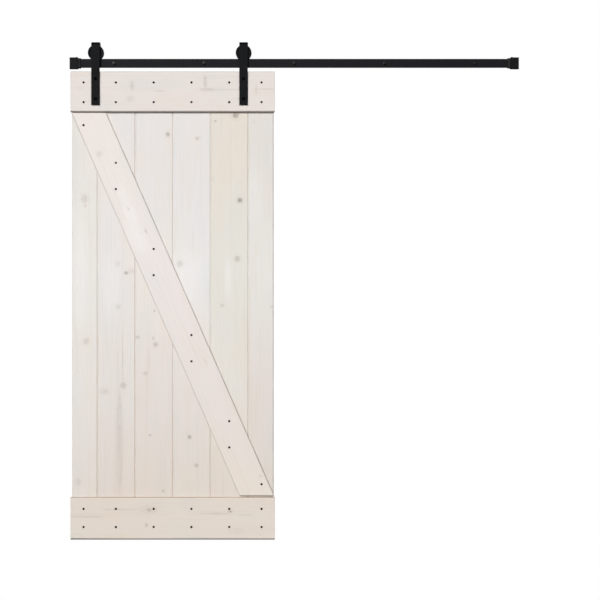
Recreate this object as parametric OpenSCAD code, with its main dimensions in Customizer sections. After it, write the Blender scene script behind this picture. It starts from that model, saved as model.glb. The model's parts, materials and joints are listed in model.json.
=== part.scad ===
// Sliding barn door: one boarded leaf on two strap rollers, hung from a flat wall track.
// X runs along the track, Y points into the wall and Z is up. The wall's face is at Y = 0,
// and the origin is the middle track fixing, at half the height of the rail.

/* [Door leaf] */
// Width of the leaf over its two cross boards
door_w = 919; // [760:1:1100]
// Height of the leaf
door_h = 2108; // [1750:2:2530]
// Left edge of the leaf, closed, in from the end of the rail (negative is past it)
door_inset = -7; // [-10:1:200]
// Gap between the rail and the top of the leaf
door_drop = 18; // [12:1:30]
// Thickness of the upright planks
plank_t = 20; // [16:1:26]
// Width of the two outer planks; the planks between them share the rest
outer_w = 114.4; // [60:0.1:180]
// Depth of the bevel on each plank edge, which makes the V joints
plank_bevel = 4; // [1:0.5:5]
// Thickness of the plank tongues
tongue_t = 6; // [4:0.5:7]
// Length of the plank tongues
tongue_l = 7; // [4:0.5:10]
// Thickness of the cross boards and the brace
board_t = 15; // [12:1:22]
// Height of the top cross board
top_board_h = 183; // [155:1:230]
// Height of the bottom cross board
bottom_board_h = 191; // [150:1:230]
// How far the cross boards stand past the planks on each side
board_lip = 5; // [0:1:10]
// Width of the diagonal brace across its grain
brace_w = 144; // [110:1:180]
// How far the brace's corners stand past the planks on each side
brace_past = 2; // [0:0.5:5]
// Gap between the top board and the brace
brace_gap_top = 4; // [0:0.5:10]
// Gap between the brace and the bottom board
brace_gap_bottom = 8; // [0:0.5:10]
// Bevel round the front of the boards and the brace
board_bevel = 5; // [0.5:0.5:6]

/* [Wood screws] */
// Radius of the screw heads
screw_head_r = 4.6; // [3.5:0.1:6]
// Radius of the screw shanks
screw_r = 2.3; // [1.5:0.1:2.5]
// Length of the screws
screw_l = 32; // [22:1:34]
// Outer columns of screws, in from the sides of the planks
outer_screw_in = 54; // [35:1:70]
// Upper row of screws, below the top of the leaf
top_row_in = 50; // [30:1:65]
// Spacing of the two rows on the top board
top_rows = 88.5; // [60:0.5:95]
// Lowest row of screws, above the bottom of the leaf
bottom_row_in = 57.5; // [30:0.5:65]
// Spacing of the two rows on the bottom board
bottom_rows = 81.5; // [60:0.5:95]
// Spacing of the two brace screws in one plank
brace_rows = 118; // [80:1:140]
// Middle of each pair of brace screws, below the middle of the brace
brace_drop = 4; // [0:1:10]
// Brace end screws, in from the cross boards
brace_end = 59; // [45:1:80]

/* [Track] */
// Length of the rail
track_l = 2000; // [1660:5:2400]
// Height of the rail
track_h = 40; // [34:1:48]
// Thickness of the rail
track_t = 6; // [5:0.5:8]
// Bevel on the rail's long edges
track_bevel = 0.8; // [0.2:0.1:1.5]
// Spacing of the wall fixings
fixing_pitch = 406.4; // [330:0.1:480]
// Length of the spacers between the wall and the rail
spacer_l = 35; // [32:1:45]
// Radius of the spacers
spacer_r = 10; // [8:0.5:10.5]

/* [Wall screws] */
// Shank radius of the wall screws
lag_r = 4; // [3:0.5:5]
// Radius of their threaded part in the wall
lag_thread_r = 3.3; // [2.5:0.1:4]
// Length of thread in the wall
lag_thread_l = 40; // [25:1:60]
// Length of their points
lag_tip_l = 5; // [3:0.5:8]
// Radius of their hexagon heads at the corners
lag_head_r = 7.5; // [6:0.5:9]
// Height of their heads
lag_head_h = 5.3; // [4:0.1:6]
// Radius of their washers
lag_washer_r = 8.5; // [7.5:0.5:10]
// Thickness of the flat washers
washer_t = 1.6; // [1:0.1:2]

/* [End stops] */
// Width of an end stop along the rail
stop_w = 38; // [28:1:45]
// Height of an end stop
stop_h = 52; // [50:1:60]
// Thickness of its front wall
stop_front = 7; // [5:0.5:8]
// Thickness of its back wall
stop_back = 4; // [3:0.5:6]
// Thickness of its closed end
stop_cap = 11.8; // [5:0.1:14]
// Bevel round its front edges
stop_bevel = 1.5; // [0.5:0.5:3]
// Thickness of the rubber bumper
bumper_w = 12; // [8:1:20]
// Height of the bumper
bumper_h = 46; // [45:1:50]
// Corner radius of the bumper
bumper_r = 5; // [2:0.5:5.5]
// Radius of the stop's set screws
set_screw_r = 3; // [2:0.5:3]
// Radius of their round heads
set_head_r = 6; // [4:0.5:7]
// Height of their round heads
set_head_h = 3; // [2:0.1:4]
// Set screw, in from the inner face of its stop
set_screw_in = 8; // [7:0.5:12]

/* [Roller hangers] */
// Width of the strap
strap_w = 38; // [30:1:50]
// Thickness of the strap
strap_t = 6; // [4:0.5:8]
// Outside bend radius over the wheel
strap_bend_r = 18; // [12:1:18]
// Left strap's middle, in from the left edge of the leaf
strap_inset_left = 113; // [80:1:160]
// Right strap's middle, in from the right edge of the leaf
strap_inset_right = 140; // [80:1:160]
// Length of strap lying on the leaf
strap_lap = 152; // [140:1:180]
// First strap bolt, below the top of the leaf
strap_bolt_top = 34; // [20:1:45]
// Spacing of the two strap bolts
strap_bolt_pitch = 90; // [60:1:95]
// Radius of the strap bolts
strap_bolt_r = 4; // [3:0.5:5]
// Radius of their round heads
strap_head_r = 7; // [6:0.5:9]
// Height of their round heads
strap_head_h = 4.4; // [3:0.1:5]
// Radius of the hexagon sockets in the heads, at the corners
strap_socket_r = 2.9; // [2:0.1:3.5]
// Depth of those sockets
strap_socket_d = 2.8; // [1.5:0.1:4]
// Radius of their nuts at the corners
strap_nut_r = 7.5; // [6.5:0.5:9]
// Height of their nuts
strap_nut_h = 6.5; // [4:0.5:7]

/* [Wheels] */
// Radius of the tread that runs on the rail
tread_r = 27; // [25:0.5:32]
// Height of the flanges above the tread
flange_h = 8.5; // [6:0.5:8.5]
// Width of the wheel
wheel_w = 24; // [20:1:24]
// Play between the rail and each flange
flange_play = 1; // [0.5:0.1:1.5]
// Room between the wheel and each leg of the strap
wheel_room = 2; // [1:0.5:3]
// Radius of the axle
axle_r = 5; // [4:0.5:5]
// Outer radius of the bearing
bearing_r = 13; // [12:0.5:14]
// Width of the bearing
bearing_w = 8; // [7:0.5:9]
// Radius of the bearing's balls
ball_r = 2.38; // [2:0.02:2.4]
// Number of balls
ball_count = 8; // [6:1:8]
// Outer radius of the sleeves beside the bearing
sleeve_r = 6.8; // [6:0.1:7]

/* [Clearances] */
// Radial clearance of screws, bolts and seats in their holes
fit_gap = 0.05; // [0.02:0.01:0.1]
// Clearance of the plank tongues and of the stops on the rail
slot_gap = 0.2; // [0.1:0.05:0.4]
// Gap between a wheel's tread and the rail
roll_gap = 0.2; // [0.1:0.05:0.3]

/* [Hidden] */
$fn = 64;
BLACK = [0.1, 0.1, 0.11];
STEEL = [0.62, 0.63, 0.65];
RUBBER = [0.05, 0.05, 0.05];
SCREW = [0.16, 0.13, 0.11];
PINE = [0.91, 0.88, 0.84];
eps = 0.5;                        // how far a cutter stands out of what it cuts

PLANKS = 6;
FIXINGS = 5;
SIDES = ["left", "right"];
HANGER_PARTS = ["hanger_strap", "axle_bolt", "axle_sleeves", "strap_bolts", "strap_washers",
                "strap_nuts", "wheel", "bearing_outer_ring", "bearing_inner_ring",
                "bearing_balls", "bearing_shields", "retaining_ring"];

// Depths, from the wall out to the front of the leaf
rail_back = -spacer_l;
rail_front = rail_back - track_t;
rail_mid = rail_back - track_t / 2;
leg_mid = wheel_w / 2 + wheel_room;               // rail middle to the inside of a strap leg
door_front = rail_mid - leg_mid;
plank_front = door_front + board_t;
plank_back = plank_front + plank_t;

// Heights
rail_top = track_h / 2;
door_top = -rail_top - door_drop;
door_bottom = door_top - door_h;
field_top = door_top - top_board_h;               // planks in sight between the cross boards
field_bottom = door_bottom + bottom_board_h;
axle_z = rail_top + tread_r + roll_gap;
flange_r = tread_r + flange_h;

// Across the leaf
door_x0 = -track_l / 2 + door_inset;
door_x1 = door_x0 + door_w;
field_x0 = door_x0 + board_lip;
field_w = door_w - 2 * board_lip;
plank_w = (field_w - 2 * outer_w) / (PLANKS - 2);
function plank_x0(i) = field_x0 + (i == 0 ? 0 : outer_w + (i - 1) * plank_w);
function plank_x1(i) = i == PLANKS - 1 ? field_x0 + field_w : plank_x0(i + 1);
function plank_mid(i) = (plank_x0(i) + plank_x1(i)) / 2;
function fixing_x(i) = (i - (FIXINGS - 1) / 2) * fixing_pitch;

// The brace runs corner to corner between the cross boards, over the whole field of planks
brace_top = field_top - brace_gap_top;
brace_bottom = field_bottom + brace_gap_bottom;
brace_rise = brace_top - brace_bottom;
brace_span = field_w + 2 * brace_past;
brace_reach = norm([brace_span, brace_rise]);
brace_lean = acos(brace_w / brace_reach) - atan2(brace_rise, brace_span);
brace_mid = [field_x0 + field_w / 2, (brace_top + brace_bottom) / 2];
function brace_z(x) = brace_mid[1] - (x - brace_mid[0]) / tan(brace_lean);

// Screw places, each [x, z]
function screw_x(i) =
    i == 0 ? field_x0 + outer_screw_in
    : i == PLANKS - 1 ? field_x0 + field_w - outer_screw_in
    : plank_mid(i);
function row_screws(rows) = [for (i = [0 : PLANKS - 1], z = rows) [screw_x(i), z]];
top_row = door_top - top_row_in;
bottom_row = door_bottom + bottom_row_in;
top_screws = row_screws([top_row, top_row - top_rows]);
bottom_screws = row_screws([bottom_row, bottom_row + bottom_rows]);
brace_pairs = [for (i = [1 : PLANKS - 2], s = [-1, 1])
    [screw_x(i), brace_z(screw_x(i)) - brace_drop + s * brace_rows / 2]];
brace_ends = [[screw_x(0), field_top - brace_end],
              [screw_x(PLANKS - 1), field_bottom + brace_end]];
brace_places = concat(brace_pairs, brace_ends);

// Hangers
hanger_x = [door_x0 + strap_inset_left, door_x1 - strap_inset_right];
strap_front = door_front - strap_t;
strap_bottom = door_top - strap_lap;
strap_leg = 16;                                   // back leg below the axle
strap_head_room = 6.3;                            // wheel to the inside of the bend
strap_top = axle_z + flange_r + strap_head_room + strap_t;
strap_back = rail_mid + leg_mid + strap_t;
axle_skin = 1;                                    // metal left in front of the axle's end
axle_head_h = 6.4;
axle_head_r = 9.8;
strap_bolt_z = [door_top - strap_bolt_top, door_top - strap_bolt_top - strap_bolt_pitch];
strap_bolt_tail = 1.5;

// Wheel and bearing, measured from the wheel's middle plane
groove_half = track_t / 2 + flange_play;
rim_in_r = flange_r - 8;                          // inside of the rim, where the web starts
hub_r = bearing_r + 4;
hub_half = wheel_w / 2 - 2;
web_half = hub_half - 3;                          // the web is sunk behind the hub's ends
flange_edge = 1.5;                                // bevel on the flanges' edges
bearing_lip = 2.4;                                // shoulder that the bearing sits against
ring_w = 1.2;                                     // retaining ring
ring_lip = 0.7;                                   // how far the ring stands into its groove
ring_deep = 2;                                    // how far it stands in front of the bearing
ring_open = 5;                                    // width of the ring's gap
ball_pitch_r = (bearing_r + axle_r) / 2;
race_half = 1.6;                                  // ball pitch to the face of each race
race_gap = 0.1;
shield_w = 0.5;
shield_seat = 0.8;                                // step in the outer race that holds a shield
shield_gap = 0.3;

// Stops
stop_end = track_l / 2 + stop_cap + slot_gap;     // outer face of a stop
stop_face = stop_end - stop_w;                    // where its bumper starts
bumper_side = 5.5;                                // rubber in front of the rail and behind it
set_screw_x = stop_face + set_screw_in;
set_socket_r = set_screw_r * 0.6;
set_socket_d = 2;

// ---- Building blocks ----

// A box from its low corner to its high corner
module box(low, high) {
    translate(low)
        cube(high - low);
}

// A round rod along +Y from y0 to y1
module rod(r, y0, y1) {
    translate([0, y0, 0])
        rotate([-90, 0, 0])
            cylinder(r = r, h = y1 - y0);
}

// A hexagonal rod along +Y from y0 to y1
module hex_rod(r, y0, y1) {
    translate([0, y0, 0])
        rotate([-90, 0, 0])
            cylinder(r = r, h = y1 - y0, $fn = 6);
}

// A round tube along Y
module tube(r_out, r_in, y0, y1) {
    difference() {
        rod(r_out, y0, y1);
        rod(r_in, y0 - eps, y1 + eps);
    }
}

// A profile of [radius, y] points turned about the Y axis
module turned(points) {
    rotate([-90, 0, 0])
        rotate_extrude()
            polygon(points);
}

// A bar along X with its four long edges rounded
module rounded_bar(x0, x1, y0, y1, z0, z1, r) {
    box([x0, y0 + r, z0], [x1, y1 - r, z1]);
    box([x0, y0, z0 + r], [x1, y1, z1 - r]);
    for (y = [y0 + r, y1 - r], z = [z0 + r, z1 - r])
        translate([x0, y, z])
            rotate([0, 90, 0])
                cylinder(r = r, h = x1 - x0);
}

// A slab facing -Y, bevelled round its front edges
module bevelled_slab(low, high, bevel) {
    y0 = low[1];
    y1 = high[1];
    intersection() {
        translate([low[0] - eps, 0, 0])
            rotate([90, 0, 90])
                linear_extrude(high[0] - low[0] + 2 * eps)
                    polygon([[y0, low[2] + bevel], [y0 + bevel, low[2]], [y1, low[2]],
                             [y1, high[2]], [y0 + bevel, high[2]], [y0, high[2] - bevel]]);
        translate([0, 0, low[2] - eps])
            linear_extrude(high[2] - low[2] + 2 * eps)
                polygon([[low[0] + bevel, y0], [high[0] - bevel, y0], [high[0], y0 + bevel],
                         [high[0], y1], [low[0], y1], [low[0], y0 + bevel]]);
    }
}

// ---- Wood screws ----

// The shape of one countersunk screw, grown by gap for the hole that it sits in
module screw_shape(gap) {
    sink = screw_head_r - screw_r;
    edge = 0.6;
    head = screw_head_r + gap;
    shank = screw_r + gap;
    tip = screw_l + gap;
    turned([[0, -gap], [head, -gap], [head, edge], [shank, edge + sink],
            [shank, tip - sink], [0, tip]]);
}

module screws(places) {
    slot_half = 0.45;
    slot_reach = screw_head_r * 0.6;
    slot_deep = 1.6;
    for (place = places)
        translate([place[0], door_front, place[1]])
            difference() {
                screw_shape(0);
                for (turn = [0, 90])
                    rotate([0, turn, 0])
                        box([-slot_half, -eps, -slot_reach], [slot_half, slot_deep, slot_reach]);
            }
}

module screw_holes(places) {
    for (place = places)
        translate([place[0], door_front, place[1]])
            screw_shape(fit_gap);
}

// ---- Door leaf ----

// Holes right through the leaf for the strap bolts
module strap_bolt_holes() {
    for (x = hanger_x, z = strap_bolt_z)
        translate([x, 0, z])
            rod(strap_bolt_r + fit_gap, door_front - eps, plank_back + eps);
}

// Section of a plank: bevelled front edges, a tongue on its right and a groove in its left
module plank_section(i) {
    x0 = plank_x0(i);
    x1 = plank_x1(i);
    mid = (plank_front + plank_back) / 2;
    tongue = tongue_t / 2;
    groove = tongue + slot_gap;
    left_edge = i == 0
        ? [[x0, plank_back], [x0, plank_front + plank_bevel]]
        : [[x0, plank_back], [x0, mid + groove], [x0 + tongue_l + slot_gap, mid + groove],
           [x0 + tongue_l + slot_gap, mid - groove], [x0, mid - groove],
           [x0, plank_front + plank_bevel]];
    right_edge = i == PLANKS - 1
        ? [[x1, plank_front + plank_bevel], [x1, plank_back]]
        : [[x1, plank_front + plank_bevel], [x1, mid - tongue], [x1 + tongue_l, mid - tongue],
           [x1 + tongue_l, mid + tongue], [x1, mid + tongue], [x1, plank_back]];
    front = [[x0 + plank_bevel, plank_front], [x1 - plank_bevel, plank_front]];
    polygon(concat(left_edge, front, right_edge));
}

module plank(i) {
    color(PINE)
        difference() {
            translate([0, 0, door_bottom])
                linear_extrude(door_h)
                    plank_section(i);
            screw_holes(concat(top_screws, bottom_screws, brace_places));
            strap_bolt_holes();
        }
}

module top_board() {
    color(PINE)
        difference() {
            bevelled_slab([door_x0, door_front, field_top], [door_x1, plank_front, door_top],
                          board_bevel);
            screw_holes(top_screws);
            strap_bolt_holes();
        }
}

module bottom_board() {
    color(PINE)
        difference() {
            bevelled_slab([door_x0, door_front, door_bottom],
                          [door_x1, plank_front, field_bottom], board_bevel);
            screw_holes(bottom_screws);
        }
}

module diagonal_brace() {
    half = brace_w / 2;
    long = brace_reach / 2 + brace_w;
    color(PINE)
        difference() {
            intersection() {
                translate([brace_mid[0], 0, brace_mid[1]])
                    rotate([0, -brace_lean, 0])
                        translate([0, 0, -long])
                            linear_extrude(2 * long)
                                polygon([[-half + board_bevel, door_front],
                                         [half - board_bevel, door_front],
                                         [half, door_front + board_bevel], [half, plank_front],
                                         [-half, plank_front], [-half, door_front + board_bevel]]);
                box([door_x0 - brace_w, door_front - eps, brace_bottom],
                    [door_x1 + brace_w, plank_front + eps, brace_top]);
            }
            screw_holes(brace_places);
        }
}

// ---- Roller hangers ----

// A block along X with its two top edges rounded, as a bent strap is
module bent_block(half_w, y0, y1, z0, z1, r) {
    box([-half_w, y0, z0], [half_w, y1, z1 - r]);
    box([-half_w, y0 + r, z1 - r - eps], [half_w, y1 - r, z1]);
    for (y = [y0 + r, y1 - r])
        translate([-half_w, y, z1 - r])
            rotate([0, 90, 0])
                cylinder(r = r, h = 2 * half_w);
}

module hanger_strap() {
    color(BLACK)
        difference() {
            union() {
                bent_block(strap_w / 2, strap_front, strap_back, axle_z - strap_leg, strap_top,
                           strap_bend_r);
                box([-strap_w / 2, strap_front, strap_bottom],
                    [strap_w / 2, door_front, axle_z - strap_leg + eps]);
            }
            bent_block(strap_w / 2 + eps, door_front, strap_back - strap_t,
                       axle_z - strap_leg - eps, strap_top - strap_t, strap_bend_r - strap_t);
            translate([0, 0, axle_z])
                rod(axle_r + fit_gap, strap_front + axle_skin, strap_back + eps);
            for (z = strap_bolt_z)
                translate([0, 0, z])
                    rod(strap_bolt_r + fit_gap, strap_front - eps, door_front + eps);
        }
}

module axle_bolt() {
    color(STEEL)
        translate([0, 0, axle_z]) {
            rod(axle_r, strap_front + axle_skin, strap_back);
            hex_rod(axle_head_r, strap_back, strap_back + axle_head_h);
        }
}

module axle_sleeves() {
    color(STEEL)
        translate([0, rail_mid, axle_z])
            for (y = [-leg_mid, bearing_w / 2])
                tube(sleeve_r, axle_r + fit_gap, y, y + leg_mid - bearing_w / 2);
}

// Round-headed bolts with a hexagon socket
module strap_bolts() {
    dome = (pow(strap_head_r, 2) + pow(strap_head_h, 2)) / (2 * strap_head_h);
    tail = plank_back + washer_t + strap_nut_h + strap_bolt_tail;
    color(BLACK)
        for (z = strap_bolt_z)
            translate([0, 0, z])
                difference() {
                    union() {
                        intersection() {
                            translate([0, strap_front - strap_head_h + dome, 0])
                                sphere(dome);
                            rod(strap_head_r + eps, strap_front - strap_head_h - eps, strap_front);
                        }
                        rod(strap_bolt_r, strap_front, tail);
                    }
                    hex_rod(strap_socket_r, strap_front - strap_head_h - eps,
                            strap_front - strap_head_h + strap_socket_d);
                }
}

module strap_washers() {
    color(STEEL)
        for (z = strap_bolt_z)
            translate([0, 0, z])
                tube(strap_nut_r + 1, strap_bolt_r + fit_gap, plank_back, plank_back + washer_t);
}

module strap_nuts() {
    back = plank_back + washer_t;
    color(STEEL)
        for (z = strap_bolt_z)
            translate([0, 0, z])
                difference() {
                    hex_rod(strap_nut_r, back, back + strap_nut_h);
                    rod(strap_bolt_r + fit_gap, back - eps, back + strap_nut_h + eps);
                }
}

// Grooved steel wheel: two flanges, a sunk web on both sides and a bored hub
module wheel() {
    half = wheel_w / 2;
    edge = flange_edge;
    seat = bearing_r + fit_gap;
    clip = bearing_w / 2;
    lip = bearing_r - bearing_lip;
    color(BLACK)
        translate([0, rail_mid, axle_z])
            turned([[lip, -hub_half], [hub_r, -hub_half], [hub_r, -web_half],
                    [rim_in_r, -web_half], [rim_in_r, -half],
                    [flange_r - edge, -half], [flange_r, -half + edge],
                    [flange_r, -groove_half - edge], [flange_r - edge, -groove_half],
                    [tread_r, -groove_half], [tread_r, groove_half],
                    [flange_r - edge, groove_half], [flange_r, groove_half + edge],
                    [flange_r, half - edge], [flange_r - edge, half], [rim_in_r, half],
                    [rim_in_r, web_half], [hub_r, web_half],
                    [hub_r, hub_half], [seat, hub_half], [seat, clip + ring_w + fit_gap],
                    [seat + ring_lip, clip + ring_w + fit_gap], [seat + ring_lip, clip],
                    [seat, clip], [seat, -clip], [lip, -clip]]);
}

// Ring-shaped path of the balls, which hollows both races
module race_cut() {
    rotate([-90, 0, 0])
        rotate_extrude()
            translate([ball_pitch_r, 0])
                circle(ball_r + race_gap);
}

module bearing_outer_ring() {
    face = ball_pitch_r + race_half;
    seat = face + shield_seat;
    half = bearing_w / 2;
    step = half - shield_w;
    color(STEEL)
        translate([0, rail_mid, axle_z])
            difference() {
                turned([[face, -step], [seat, -step], [seat, -half], [bearing_r, -half],
                        [bearing_r, half], [seat, half], [seat, step], [face, step]]);
                race_cut();
            }
}

module bearing_inner_ring() {
    color(STEEL)
        translate([0, rail_mid, axle_z])
            difference() {
                tube(ball_pitch_r - race_half, axle_r + fit_gap, -bearing_w / 2, bearing_w / 2);
                race_cut();
            }
}

module bearing_balls() {
    color(STEEL)
        translate([0, rail_mid, axle_z])
            for (k = [0 : ball_count - 1])
                rotate([0, k * 360 / ball_count, 0])
                    translate([ball_pitch_r, 0, 0])
                        sphere(ball_r, $fn = 32);
}

module bearing_shields() {
    color(STEEL)
        translate([0, rail_mid, axle_z])
            for (y = [-bearing_w / 2, bearing_w / 2 - shield_w])
                tube(ball_pitch_r + race_half + shield_seat, ball_pitch_r - race_half + shield_gap,
                     y, y + shield_w);
}

// Open spring ring that holds the bearing in the wheel
module retaining_ring() {
    color(STEEL)
        translate([0, rail_mid, axle_z])
            difference() {
                tube(bearing_r + ring_lip, bearing_r - ring_deep, bearing_w / 2,
                     bearing_w / 2 + ring_w);
                box([-ring_open / 2, 0, bearing_r - 2 * ring_deep],
                    [ring_open / 2, bearing_w, bearing_r + 2 * ring_deep]);
            }
}

// One piece of the left or right hanger, moved to its place on the leaf
module hanger(part, x) {
    translate([x, 0, 0]) {
        if (part == "hanger_strap") hanger_strap();
        if (part == "axle_bolt") axle_bolt();
        if (part == "axle_sleeves") axle_sleeves();
        if (part == "strap_bolts") strap_bolts();
        if (part == "strap_washers") strap_washers();
        if (part == "strap_nuts") strap_nuts();
        if (part == "wheel") wheel();
        if (part == "bearing_outer_ring") bearing_outer_ring();
        if (part == "bearing_inner_ring") bearing_inner_ring();
        if (part == "bearing_balls") bearing_balls();
        if (part == "bearing_shields") bearing_shields();
        if (part == "retaining_ring") retaining_ring();
    }
}

// ---- Track ----

module track_rail() {
    b = track_bevel;
    color(BLACK)
        difference() {
            translate([-track_l / 2, 0, 0])
                rotate([90, 0, 90])
                    linear_extrude(track_l)
                        polygon([[rail_front, -rail_top + b], [rail_front + b, -rail_top],
                                 [rail_back - b, -rail_top], [rail_back, -rail_top + b],
                                 [rail_back, rail_top - b], [rail_back - b, rail_top],
                                 [rail_front + b, rail_top], [rail_front, rail_top - b]]);
            for (i = [0 : FIXINGS - 1])
                translate([fixing_x(i), 0, 0])
                    rod(lag_r + fit_gap, rail_front - eps, rail_back + eps);
        }
}

module track_spacer(i) {
    color(BLACK)
        translate([fixing_x(i), 0, 0])
            tube(spacer_r, lag_r + fit_gap, rail_back, 0);
}

module lag_screws() {
    head_back = rail_front - washer_t;
    color(BLACK)
        for (i = [0 : FIXINGS - 1])
            translate([fixing_x(i), 0, 0]) {
                hex_rod(lag_head_r, head_back - lag_head_h, head_back);
                rod(lag_r, head_back, 0);
                rod(lag_thread_r, 0, lag_thread_l);
                translate([0, lag_thread_l, 0])
                    rotate([-90, 0, 0])
                        cylinder(r1 = lag_thread_r, r2 = 0.5, h = lag_tip_l);
            }
}

module lag_washers() {
    color(BLACK)
        for (i = [0 : FIXINGS - 1])
            translate([fixing_x(i), 0, 0])
                tube(lag_washer_r, lag_r + fit_gap, rail_front - washer_t, rail_front);
}

// ---- End stops ----

// Room for the end of the rail inside a stop or a bumper
module rail_slot(x0, x1) {
    box([x0, rail_front - slot_gap, -rail_top - slot_gap],
        [x1, rail_back + slot_gap, rail_top + slot_gap]);
}

// The right-hand stop; the left one is its mirror image
module end_stop() {
    y0 = rail_front - slot_gap - stop_front;
    y1 = rail_back + slot_gap + stop_back;
    color(BLACK)
        difference() {
            bevelled_slab([stop_face, y0, -stop_h / 2], [stop_end, y1, stop_h / 2], stop_bevel);
            rail_slot(stop_face - eps, stop_end - stop_cap);
            translate([set_screw_x, rail_mid, 0])
                cylinder(r = set_screw_r + fit_gap, h = stop_h);
        }
}

module stop_bumper() {
    x0 = stop_face - bumper_w;
    color(RUBBER)
        difference() {
            rounded_bar(x0, stop_face, rail_front - bumper_side, rail_back + bumper_side,
                        -bumper_h / 2, bumper_h / 2, bumper_r);
            rail_slot(x0 - eps, stop_face + eps);
        }
}

// Round-headed screws down through the stops onto the rail's top edge
module stop_set_screws() {
    dome = (pow(set_head_r, 2) + pow(set_head_h, 2)) / (2 * set_head_h);
    head_top = stop_h / 2 + set_head_h;
    color(BLACK)
        for (side = [-1, 1])
            translate([side * set_screw_x, rail_mid, 0])
                difference() {
                    union() {
                        intersection() {
                            translate([0, 0, head_top - dome])
                                sphere(dome);
                            translate([0, 0, stop_h / 2])
                                cylinder(r = set_head_r + eps, h = set_head_h + eps);
                        }
                        translate([0, 0, rail_top])
                            cylinder(r = set_screw_r, h = stop_h / 2 - rail_top + eps);
                    }
                    translate([0, 0, head_top - set_socket_d])
                        cylinder(r = set_socket_r, h = set_socket_d + eps, $fn = 6);
                }
}

module stop_part(part) {
    if (part == "end_stop") end_stop();
    if (part == "stop_bumper") stop_bumper();
}

// ---- Nodes ----

for (i = [1 : PLANKS])
    plank(i - 1);
top_board();
bottom_board();
diagonal_brace();
color(SCREW) screws(top_screws);  // top_board_screws
color(SCREW) screws(bottom_screws);  // bottom_board_screws
color(SCREW) screws(brace_places);  // brace_screws
for (side = [0, 1], part = HANGER_PARTS)
    hanger(part, hanger_x[side]);
track_rail();
for (i = [1 : FIXINGS])
    track_spacer(i - 1);
lag_screws();
lag_washers();
for (part = ["end_stop", "stop_bumper"]) {
    mirror([1, 0, 0]) stop_part(part);
    stop_part(part);
}
stop_set_screws();
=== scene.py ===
import json
import math

import bmesh
import bpy
from mathutils import Matrix, Vector, noise


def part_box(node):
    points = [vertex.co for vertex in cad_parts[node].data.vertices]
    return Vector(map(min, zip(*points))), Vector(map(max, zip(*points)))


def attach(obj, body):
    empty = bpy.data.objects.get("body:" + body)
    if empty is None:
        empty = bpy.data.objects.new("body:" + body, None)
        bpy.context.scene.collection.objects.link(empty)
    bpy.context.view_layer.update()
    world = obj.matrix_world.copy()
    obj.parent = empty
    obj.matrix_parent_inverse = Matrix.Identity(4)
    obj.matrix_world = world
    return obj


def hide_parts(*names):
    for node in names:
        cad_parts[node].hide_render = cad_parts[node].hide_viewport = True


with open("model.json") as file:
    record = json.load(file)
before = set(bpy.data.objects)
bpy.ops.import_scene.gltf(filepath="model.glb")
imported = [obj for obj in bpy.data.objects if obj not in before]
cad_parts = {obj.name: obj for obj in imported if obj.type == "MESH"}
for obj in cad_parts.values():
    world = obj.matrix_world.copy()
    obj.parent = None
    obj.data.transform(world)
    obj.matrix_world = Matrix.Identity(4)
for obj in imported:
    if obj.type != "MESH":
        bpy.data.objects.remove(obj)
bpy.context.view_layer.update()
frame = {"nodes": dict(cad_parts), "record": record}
print("frame loaded")

sides = ("left", "right")

topLow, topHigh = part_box("top_board")
bottomLow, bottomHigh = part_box("bottom_board")
leafLow = Vector((min(topLow.x, bottomLow.x), topLow.y, bottomLow.z))
leafHigh = Vector((max(topHigh.x, bottomHigh.x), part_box("plank_1")[1].y, topHigh.z))
leafMiddle = (leafLow + leafHigh) / 2

cameraSetup = {
    "lens": 85.0,
    "sensor": 36.0,
    "frameWidth": 2.70,      # metres across the picture at the leaf's front
    "lookRight": 0.026,      # aim, from the middle of the rail
    "lookDown": 1.067,
}


def makeCamera(setup):
    data = bpy.data.cameras.new("frontCamera")
    data.lens = setup["lens"]
    data.sensor_width = setup["sensor"]
    camera = bpy.data.objects.new("frontCamera", data)
    away = setup["frameWidth"] * setup["lens"] / setup["sensor"]
    camera.location = (setup["lookRight"], leafLow.y - away, -setup["lookDown"])
    camera.rotation_euler = (math.radians(90), 0, 0)
    bpy.context.scene.collection.objects.link(camera)
    bpy.context.scene.camera = camera


makeCamera(cameraSetup)

studio = {
    "roundStrength": 0.61,   # light of the room at eye height
    "poleStrength": 0.03,    # light straight from above and below
    "fadeFrom": 0.15,        # one fades into the other between these, 0 being level and 1 upright
    "fadeTo": 0.65,
    "lampAway": 3.0,         # how far off the lamps stand, which doesn't change their light
    # lamps: where each one shines from, its strength, and how wide it looks in degrees
    "lamps": {
        "keyLamp": ((-0.32, -1.0, 0.44), 2.54, 18),
        "sideLamp": ((0.75, -1.0, -0.10), 0.34, 60),
        "backLamp": ((0.6, 1.0, 0.45), 1.6, 40),
    },
    "floorDrop": 0.012,      # gap between the leaf and the floor
    "floorSize": 40.0,
    "floorShade": 0.22,
}


def makeLamp(name, away, place, strength, width):
    data = bpy.data.lights.new(name, "SUN")
    data.energy = strength
    data.angle = math.radians(width)
    lamp = bpy.data.objects.new(name, data)
    lamp.location = leafMiddle + away * Vector(place)
    lamp.rotation_euler = Vector(place).to_track_quat("Z", "Y").to_euler()
    bpy.context.scene.collection.objects.link(lamp)


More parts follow.
